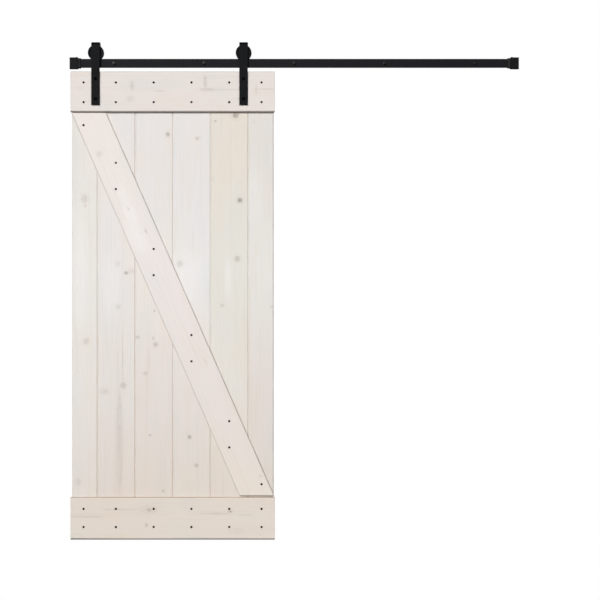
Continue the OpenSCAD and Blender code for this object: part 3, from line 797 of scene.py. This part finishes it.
# Knots and marks on the leaf, in metres: right of its left edge, down from its top, radius,
# darkness, and length along the grain as a multiple of the radius
plankKnots = [
    (0.651, 0.222, 0.005, 0.75, 0.7), (0.742, 0.196, 0.014, 0.85, 0.9),
    (0.437, 0.282, 0.008, 0.80, 1.2), (0.570, 0.300, 0.008, 0.55, 1.0),
    (0.762, 0.579, 0.010, 0.95, 1.0), (0.750, 0.843, 0.011, 0.60, 1.1),
    (0.490, 0.866, 0.014, 0.42, 1.1), (0.249, 0.907, 0.008, 0.80, 0.9),
    (0.276, 0.898, 0.018, 0.25, 0.6), (0.060, 0.572, 0.014, 0.42, 1.3),
    (0.065, 0.604, 0.006, 0.40, 1.0), (0.637, 0.485, 0.008, 0.22, 1.0),
    (0.825, 0.226, 0.007, 0.22, 0.7), (0.211, 0.865, 0.012, 0.22, 1.0),
    (0.213, 1.059, 0.012, 0.30, 0.9), (0.377, 1.078, 0.004, 0.70, 1.0),
    (0.069, 1.215, 0.013, 0.40, 1.2), (0.300, 1.197, 0.009, 0.48, 0.8),
    (0.382, 1.230, 0.010, 0.58, 1.0), (0.371, 1.202, 0.005, 0.42, 1.4),
    (0.336, 1.360, 0.010, 0.40, 0.8), (0.151, 1.440, 0.020, 0.30, 0.7),
    (0.235, 1.414, 0.014, 0.50, 1.1), (0.219, 1.607, 0.007, 0.48, 1.0),
    (0.356, 1.639, 0.005, 0.60, 1.0), (0.535, 1.647, 0.008, 0.75, 1.0),
    (0.565, 1.775, 0.008, 0.60, 1.0), (0.416, 1.890, 0.006, 0.50, 1.0),
    (0.033, 1.849, 0.015, 0.30, 1.0), (0.682, 1.053, 0.007, 0.45, 1.0),
    (0.903, 1.059, 0.006, 0.35, 1.0), (0.219, 1.670, 0.015, 0.32, 15.0),
    (0.233, 1.290, 0.0015, 0.50, 80.0), (0.351, 1.300, 0.004, 0.18, 14.0),
]
topBoardKnots = [
    (0.277, 0.066, 0.020, 0.36, 0.40), (0.270, 0.122, 0.013, 0.30, 1.1),
    (0.606, 0.052, 0.030, 0.42, 0.24), (0.618, 0.082, 0.007, 0.42, 5.0),
    (0.690, 0.082, 0.004, 0.24, 20.0), (0.402, 0.088, 0.005, 0.28, 5.0),
    (0.836, 0.080, 0.020, 0.32, 0.25), (0.875, 0.080, 0.004, 0.22, 11.0),
    (0.045, 0.078, 0.011, 0.14, 1.6),
]
bottomBoardKnots = [
    (0.350, 1.972, 0.019, 0.26, 2.2), (0.356, 1.974, 0.007, 0.70, 1.2),
    (0.342, 2.041, 0.006, 0.60, 1.2), (0.220, 1.972, 0.003, 0.34, 25.0),
    (0.070, 2.004, 0.006, 0.28, 12.0), (0.650, 1.990, 0.005, 0.34, 13.0),
    (0.720, 1.981, 0.006, 0.60, 1.5), (0.747, 2.070, 0.015, 0.18, 2.6),
    (0.785, 1.997, 0.004, 0.22, 9.0),
]
braceKnots = [
    (0.130, 0.372, 0.012, 0.34, 1.0), (0.261, 0.618, 0.003, 0.40, 3.0),
    (0.339, 0.720, 0.003, 0.65, 3.2), (0.318, 0.728, 0.003, 0.20, 2.0),
    (0.608, 1.304, 0.003, 0.32, 4.0), (0.855, 1.822, 0.006, 0.35, 1.0),
]

# Soft pale patches in the wash, written as the knots are
palePatches = [
    (0.520, 0.930, 0.040, 0.55, 1.8), (0.708, 0.930, 0.008, 0.60, 7.0),
    (0.045, 0.900, 0.016, 0.60, 8.0), (0.035, 1.060, 0.010, 0.50, 7.0),
    (0.180, 0.960, 0.022, 0.50, 3.5), (0.820, 0.560, 0.022, 0.35, 4.0),
]
bracePales = [
    (0.270, 0.640, 0.016, 0.80, 2.2), (0.292, 0.740, 0.022, 0.75, 2.4),
    (0.240, 0.560, 0.012, 0.55, 2.5),
]

# Each board's own wash and sawing: tones run from the top of the leaf to its bottom, show is how
# far its rings show through, rub how far its edges are worn, then the strength of the painted shade
# that darkens its undersides, pith where the tree's heart lies from the board's middle (across,
# deep, along), ring the width of a year's growth, lean how the rings tilt along the board
boardLooks = {
    "plank_1": {
        "tones": [(0.91, 0.89, 0.87), (0.92, 0.91, 0.89), (0.91, 0.89, 0.87), (0.89, 0.86, 0.83)],
        "show": 0.020, "rub": 0.20, "under": 0.4,
        "pith": (0.030, 0.050, 0.3), "ring": 0.0075, "lean": 0.050},
    "plank_2": {
        "tones": [(0.91, 0.89, 0.88), (0.92, 0.90, 0.89), (0.90, 0.88, 0.86), (0.88, 0.84, 0.81)],
        "show": 0.020, "rub": 0.20, "under": 0.4,
        "pith": (-0.020, 0.062, -0.6), "ring": 0.0090, "lean": 0.035},
    "plank_3": {
        "tones": [(0.91, 0.89, 0.88), (0.92, 0.90, 0.88), (0.90, 0.87, 0.85), (0.88, 0.84, 0.80)],
        "show": 0.014, "rub": 0.18, "under": 0.4,
        "pith": (0.045, 0.055, 0.9), "ring": 0.0082, "lean": -0.040},
    "plank_4": {
        "tones": [(0.91, 0.89, 0.88), (0.92, 0.91, 0.90), (0.90, 0.87, 0.85), (0.88, 0.85, 0.81)],
        "show": 0.012, "rub": 0.14, "under": 0.4,
        "pith": (-0.015, 0.070, 0.2), "ring": 0.0100, "lean": 0.045},
    "plank_5": {
        "tones": [(0.90, 0.87, 0.83), (0.90, 0.89, 0.86), (0.90, 0.88, 0.85), (0.88, 0.84, 0.80)],
        "show": 0.016, "rub": 0.12, "under": 0.4,
        "pith": (0.010, 0.058, -0.2), "ring": 0.0085, "lean": -0.050},
    "plank_6": {
        "tones": [(0.89, 0.87, 0.85), (0.91, 0.90, 0.88), (0.89, 0.86, 0.84), (0.87, 0.84, 0.80)],
        "show": 0.020, "rub": 0.16, "under": 0.4,
        "pith": (0.050, 0.045, 0.5), "ring": 0.0078, "lean": 0.040},
    "top_board": {
        "tones": [(0.90, 0.87, 0.85), (0.91, 0.89, 0.87)],
        "show": 0.016, "rub": 0.12, "under": 0.55,
        "pith": (0.010, 0.060, 0.1), "ring": 0.0088, "lean": 0.060},
    "bottom_board": {
        "tones": [(0.89, 0.85, 0.81), (0.89, 0.85, 0.81)],
        "show": 0.016, "rub": 0.12, "under": 1.0,
        "pith": (-0.020, 0.060, -0.1), "ring": 0.0080, "lean": -0.060},
    "diagonal_brace": {
        "tones": [(0.93, 0.90, 0.88), (0.93, 0.90, 0.89), (0.91, 0.88, 0.86), (0.91, 0.87, 0.83)],
        "show": 0.007, "rub": 0.12, "under": 0.2,
        "pith": (0.020, 0.065, 0.4), "ring": 0.0105, "lean": 0.030},
}

# Edges in front: how far in they are rubbed, how far they are rounded, and the joints' bevel as a
# share of the thickness
plankEdges = {"reach": 0.0060, "ease": 0.0015, "bevel": 0.2}
boardEdges = {"reach": 0.0050, "ease": 0.0055, "bevel": 0.0}


def localKnots(knots, centre, turn):
    # knots measured on the leaf, moved to the board's own centre and direction
    back = Matrix.Rotation(-turn, 3, "Y")
    placed = []
    for right, down, *spot in knots:
        onLeaf = Vector((leafLow.x + right, centre.y, leafHigh.z - down))
        point = back @ (onLeaf - centre)
        placed.append((point.x, point.z, *spot))
    return placed


def makeBoard(node, seed, centre, turn, size, ends, edges, knots, pales):
    # seed sets each board's grain and planing apart from the others'
    width, deep, length = size
    looks = dict(boardLooks[node], seed=seed * 3.7, edgeReach=edges["reach"])
    material = pineMaterial(node + "Wash", centre, turn, [side / 2 for side in size], looks,
                            localKnots(knots, centre, turn), localKnots(pales, centre, turn))
    mesh = boardMesh(node + "Shape", centre, turn, width, deep, ends, edges["ease"],
                     deep * edges["bevel"], seed * 5.3)
    addPiece(node + "Washed", mesh, material, node)


def makePlanks():
    count = 6
    for k in range(1, count + 1):
        low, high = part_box(f"plank_{k}")
        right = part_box(f"plank_{k + 1}")[0].x if k < count else high.x
        centre = Vector(((low.x + right) / 2, (low.y + high.y) / 2, (low.z + high.z) / 2))
        length = high.z - low.z
        knots, pales = ([spot for spot in spots if low.x <= leafLow.x + spot[0] < right]
                        for spots in (plankKnots, palePatches))
        makeBoard(f"plank_{k}", k, centre, 0.0, (right - low.x, high.y - low.y, length),
                  lambda across, half=length / 2: (-half, half), plankEdges, knots, pales)


def makeCrossBoards():
    for node, knots, seed in (("top_board", topBoardKnots, 11),
                              ("bottom_board", bottomBoardKnots, 12)):
        low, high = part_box(node)
        length = high.x - low.x
        makeBoard(node, seed, (low + high) / 2, math.radians(90),
                  (high.z - low.z, high.y - low.y, length),
                  lambda across, half=length / 2: (-half, half), boardEdges, knots, [])


def makeBrace():
    node = "diagonal_brace"
    low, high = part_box(node)
    rise, run = high.z - low.z, high.x - low.x
    corners = [vertex.co for vertex in frame["nodes"][node].data.vertices]
    # its ends are cut level, so its top edge gives how far it leans
    cut = max(co.x for co in corners if co.z > high.z - 1e-4) - low.x
    lean = math.atan((run - cut) / rise)
    reach = rise / math.cos(lean) / 2
    slant = math.tan(lean)
    # the slanted ends have no edge of their own to rub, so the length given is past them
    makeBoard(node, 13, (low + high) / 2, -lean,
              (cut * math.cos(lean), high.y - low.y, 2 * rise),
              lambda across: (-reach - across * slant, reach - across * slant), boardEdges,
              braceKnots, bracePales)


makePlanks()
makeCrossBoards()
makeBrace()
print("leaf boards made")


def addTurned(points, faces, rings, around, centre, closed=False):
    # rings of (radius, y) turned about Y and joined one to the next; a radius or a y may be a
    # function of the angle, for recesses, hexagons and threads
    start, total = len(points), len(rings)
    for ring in rings:
        for j in range(around):
            angle = 2 * math.pi * j / around
            reach, level = (item(angle) if callable(item) else item for item in ring)
            turned = Vector((reach * math.cos(angle), level, reach * math.sin(angle)))
            points.append(centre + turned)
    for k in range(total if closed else total - 1):
        here, there = start + k * around, start + (k + 1) % total * around
        for j in range(around):
            side = (j + 1) % around
            faces.append((here + j, here + side, there + side, there + j))
    if not closed:
        faces.append(tuple(start + j for j in reversed(range(around))))
        faces.append(tuple(start + (total - 1) * around + j for j in range(around)))


def addTurnedPiece(node, points, faces, material, sharpFrom):
    mesh = bpy.data.meshes.new(node + "Shape")
    mesh.from_pydata(points, [], faces)
    fixNormals(mesh)
    smoothBelow(mesh, sharpFrom)
    addPiece(node + "Made", mesh, material, node)


def solidPlaces(node):
    # the box of each separate solid of a node, from left to right
    mesh = frame["nodes"][node].data
    work = bmesh.new()
    work.from_mesh(mesh)
    bmesh.ops.remove_doubles(work, verts=work.verts, dist=1e-6)
    left, found = set(work.verts), []
    while left:
        stack, shell = [left.pop()], []
        while stack:
            vertex = stack.pop()
            shell.append(vertex.co.copy())
            for edge in vertex.link_edges:
                other = edge.other_vert(vertex)
                if other in left:
                    left.remove(other)
                    stack.append(other)
        low = Vector(min(co[axis] for co in shell) for axis in range(3))
        high = Vector(max(co[axis] for co in shell) for axis in range(3))
        found.append((low, high))
    work.free()
    return sorted(found, key=lambda box: (round(box[0].x, 4), round(box[0].z, 4)))


def middleOf(low, high):
    return Vector(((low.x + high.x) / 2, 0, (low.z + high.z) / 2))


screwShape = {
    "proud": 0.0012,         # the heads stand this far out of the boards
    "rim": 1.1,              # and their rims reach this much over their seats
    # rounded front of a head: shares of its radius, and of the proud height behind its front
    "crown": ((0.8, 0.15), (0.96, 0.45), (1.0, 0.8)),
    "around": 32,
    "recessReach": 0.58,     # cross recess, as a share of the head's radius
    "recessDeep": 0.0008,
    "armShare": 0.17,        # half an arm of the cross, as a share of a quarter turn
    "tip": 0.004,
    "sharpFrom": 35,
}


def crossRecess(angle):
    # 1 in the arms of a cross, 0 between them
    turn = (angle % (math.pi / 2)) / (math.pi / 2)
    return 1.0 if min(turn, 1 - turn) < screwShape["armShare"] else 0.0


def makeScrews():
    shape = screwShape
    proud, recessDeep = shape["proud"], shape["recessDeep"]
    for node in ("top_board_screws", "bottom_board_screws", "brace_screws"):
        points, faces = [], []
        for low, high in solidPlaces(node):
            seat = (high.x - low.x) / 2
            head, shank = seat * shape["rim"], seat / 2
            front = low.y - proud
            reach = head * shape["recessReach"]

            def recess(angle, top=front):
                return top + crossRecess(angle) * recessDeep

            rings = [(head * 0.05, front + recessDeep), (reach * 0.5, recess),
                     (reach * 0.95, recess), (reach, front)]
            rings += [(head * part, front + proud * back) for part, back in shape["crown"]]
            rings += [(head, low.y), (seat, low.y), (shank, low.y + seat - shank),
                      (shank, high.y - shape["tip"]), (shank * 0.1, high.y)]
            addTurned(points, faces, rings, shape["around"], middleOf(low, high))
        addTurnedPiece(node, points, faces, screwBlack, shape["sharpFrom"])


makeScrews()
print("wood screws made")

# How far the edges of the steel and rubber parts are rounded
rounding = {
    "strap": 0.0008,
    "wheel": 0.0005,
    "stop": 0.0006,
    "bumper": 0.0006,
    "washer": 0.0003,
    "rail": 0.0022,
    "spacer": 0.0006,
    "setScrew": 0.0002,
    "roundFrom": 35,         # only edges that turn more than this many degrees
    "sharpFrom": 30,
}


def easedCopy(node, width, material, segments=2):
    # the node's own shape with its sharp edges rounded
    work = bmesh.new()
    work.from_mesh(frame["nodes"][node].data)
    bmesh.ops.remove_doubles(work, verts=work.verts, dist=1e-6)
    bmesh.ops.dissolve_limit(work, angle_limit=math.radians(0.5), verts=work.verts,
                             edges=work.edges)
    work.verts.index_update()
    points = [vertex.co.copy() for vertex in work.verts]
    faces = [[vertex.index for vertex in face.verts] for face in work.faces]
    work.free()
    mesh = bpy.data.meshes.new(node + "Plain")
    mesh.from_pydata(points, [], faces)
    draft = bpy.data.objects.new(node + "Draft", mesh)
    bpy.context.scene.collection.objects.link(draft)
    bevel = draft.modifiers.new("rounding", "BEVEL")
    bevel.width = width
    bevel.segments = segments
    bevel.limit_method = "ANGLE"
    bevel.angle_limit = math.radians(rounding["roundFrom"])
    smoothBelow(mesh, rounding["sharpFrom"])
    draft.modifiers.new("evenShading", "WEIGHTED_NORMAL").keep_sharp = True
    graph = bpy.context.evaluated_depsgraph_get()
    made = bpy.data.meshes.new_from_object(draft.evaluated_get(graph))
    bpy.data.objects.remove(draft)
    addPiece(node + "Eased", made, material, node)


def boxCoat(node, looks):
    low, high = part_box(node)
    return coatMaterial(node + "Coat", coatLooks[looks], (low + high) / 2, (high - low) / 2)


for side in sides:
    strapNode, stopNode = f"{side}_hanger_strap", f"{side}_end_stop"
    easedCopy(strapNode, rounding["strap"], boxCoat(strapNode, "strap"))
    easedCopy(f"{side}_wheel", rounding["wheel"], wheelCoat)
    easedCopy(stopNode, rounding["stop"], boxCoat(stopNode, "stop"))
    easedCopy(f"{side}_stop_bumper", rounding["bumper"], bumperRubber)
    easedCopy(f"{side}_strap_washers", rounding["washer"], zincSteel)
easedCopy("track_rail", rounding["rail"], boxCoat("track_rail", "rail"), 3)
for number in range(1, 6):
    easedCopy(f"track_spacer_{number}", rounding["spacer"], spacerCoat)
easedCopy("lag_washers", rounding["washer"], blackFixing)
easedCopy("stop_set_screws", rounding["setScrew"], blackFixing)
print("steel parts eased")

fixingShape = {
    "around": 48,
    "crown": 0.96,           # round face of a hexagon head, as a share of its half width over flats
    "chamfer": 0.58,         # slope of the chamfer outside it
    # softened edge of a wall screw's face: shares of the face's radius, and how far back
    "faceEdge": ((0.96, 0.00004), (1.0, 0.0001)),
    "lagPitch": 0.0032,      # thread of the wall screws, from root to crest
    "lagRoot": 0.0027,
    "lagCrest": 0.0038,
    "lagShank": 0.0040,
    "tipLength": 0.008,
    "tipReach": 0.0003,
    "boltPitch": 0.00125,    # thread of the strap bolts
    "boltRoot": 0.0036,
    "boltCrest": 0.0040,
    "boltThread": 0.014,
    "ridge": 0.3,            # half a thread ridge, as a share of the pitch
    "turnSteps": 6,          # mesh rings to a turn of thread
    "domeSteps": 8,
    "socketReach": 0.0029,
    "socketDeep": 0.0028,
    "socketRim": 1.15,       # flat round the socket, against its reach
    "nutHole": 0.0041,
    "axleReach": 0.0050,
    "ease": 0.0005,
    "sharpFrom": 28,
}


def hexReach(corner):
    # distance from the middle to the side of a hexagon, with a corner at angle 0
    flat = corner * math.cos(math.pi / 6)
    return lambda angle: flat / math.cos(angle % (math.pi / 3) - math.pi / 6)


def hexFace(corner, face, inward):
    # where the chamfer at one end of a hexagon leaves its sides; inward is 1 or -1 along Y
    crown = corner * math.cos(math.pi / 6) * fixingShape["crown"]
    reach = hexReach(corner)
    return crown, lambda angle: face + inward * (reach(angle) - crown) * fixingShape["chamfer"]


def threadRings(start, stop, pitch, root, crest, tip):
    # a helical thread from start to stop along Y, running out to a point over its tip
    def reachAt(y):
        left = min(1.0, (stop - y) / tip) if tip else 1.0

        def reach(angle):
            part = (y / pitch + angle / (2 * math.pi)) % 1.0
            ridge = max(0.0, 1.0 - abs(part - 0.5) / fixingShape["ridge"])
            return max(fixingShape["tipReach"], (root + (crest - root) * ridge) * left)
        return reach
    count = math.ceil((stop - start) / (pitch / fixingShape["turnSteps"]))
    return [(reachAt(y), y) for y in (start + (stop - start) * k / count for k in range(count + 1))]


def makeLagScrews():
    shape = fixingShape
    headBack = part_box("lag_washers")[0].y
    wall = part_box("track_spacer_1")[1].y
    points, faces = [], []
    for low, high in solidPlaces("lag_screws"):
        corner = (high.x - low.x) / 2
        crown, edge = hexFace(corner, low.y, 1)
        rings = [(crown * 0.5, low.y)]
        rings += [(crown * part, low.y + back) for part, back in shape["faceEdge"]]
        rings += [(hexReach(corner), edge), (hexReach(corner), headBack),
                  (shape["lagShank"], headBack), (shape["lagShank"], wall)]
        rings += threadRings(wall, high.y, shape["lagPitch"], shape["lagRoot"],
                             shape["lagCrest"], shape["tipLength"])
        addTurned(points, faces, rings, shape["around"], middleOf(low, high))
    addTurnedPiece("lag_screws", points, faces, blackFixing, shape["sharpFrom"])


def makeStrapBolts(side):
    shape = fixingShape
    node = f"{side}_strap_bolts"
    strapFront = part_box(f"{side}_hanger_strap")[0].y
    socket, deep, ease = shape["socketReach"], shape["socketDeep"], shape["ease"]
    inner, steps = socket * shape["socketRim"], shape["domeSteps"]
    points, faces = [], []
    for low, high in solidPlaces(node):
        head, tall = (high.x - low.x) / 2, strapFront - low.y
        dome = (head ** 2 + tall ** 2) / (2 * tall)

        def onDome(reach, top=low.y, dome=dome):
            return top + dome - math.sqrt(dome ** 2 - reach ** 2)

        rings = [(socket * 0.2, low.y + deep), (hexReach(socket), low.y + deep),
                 (hexReach(socket), onDome(inner) + ease), (inner, onDome(inner))]
        reaches = [inner + (head - inner) * k / steps for k in range(1, steps)]
        rings += [(reach, onDome(reach)) for reach in reaches]
        rings += [(head, strapFront - ease), (head, strapFront), (shape["boltCrest"], strapFront)]
        rings += threadRings(high.y - shape["boltThread"], high.y - ease, shape["boltPitch"],
                             shape["boltRoot"], shape["boltCrest"], 0)
        rings.append((shape["boltRoot"] - ease, high.y))
        addTurned(points, faces, rings, shape["around"], middleOf(low, high))
    addTurnedPiece(node, points, faces, boltBlack, shape["sharpFrom"])


def makeStrapNuts(side):
    shape = fixingShape
    node = f"{side}_strap_nuts"
    hole, ease = shape["nutHole"], shape["ease"]
    points, faces = [], []
    for low, high in solidPlaces(node):
        corner = (high.x - low.x) / 2
        crown, lowEdge = hexFace(corner, low.y, 1)
        highEdge = hexFace(corner, high.y, -1)[1]
        rings = [(hole, low.y + ease), (hole + ease, low.y), (crown, low.y),
                 (hexReach(corner), lowEdge), (hexReach(corner), highEdge), (crown, high.y),
                 (hole + ease, high.y), (hole, high.y - ease)]
        addTurned(points, faces, rings, shape["around"], middleOf(low, high), closed=True)
    addTurnedPiece(node, points, faces, zincSteel, shape["sharpFrom"])


def makeAxleBolt(side):
    shape = fixingShape
    node = f"{side}_axle_bolt"
    ease, reach = shape["ease"], shape["axleReach"]
    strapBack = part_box(f"{side}_hanger_strap")[1].y
    points, faces = [], []
    for low, high in solidPlaces(node):
        corner = (high.x - low.x) / 2
        crown, edge = hexFace(corner, high.y, -1)
        rings = [(reach * 0.3, low.y), (reach - ease, low.y), (reach, low.y + ease),
                 (reach, strapBack), (hexReach(corner), strapBack), (hexReach(corner), edge),
                 (crown, high.y), (crown * 0.5, high.y)]
        addTurned(points, faces, rings, shape["around"], middleOf(low, high))
    addTurnedPiece(node, points, faces, zincSteel, shape["sharpFrom"])


makeLagScrews()
for side in sides:
    makeStrapBolts(side)
    makeStrapNuts(side)
    makeAxleBolt(side)
print("bolts, nuts and wall screws made")


def coatNode(node, material):
    for slot in frame["nodes"][node].material_slots:
        slot.material = material


for side in sides:
    for part in ("bearing_outer_ring", "bearing_inner_ring", "bearing_balls", "bearing_shields"):
        coatNode(f"{side}_{part}", bearingSteel)
    for part in ("retaining_ring", "axle_sleeves"):
        coatNode(f"{side}_{part}", zincSteel)
print("bearings finished")
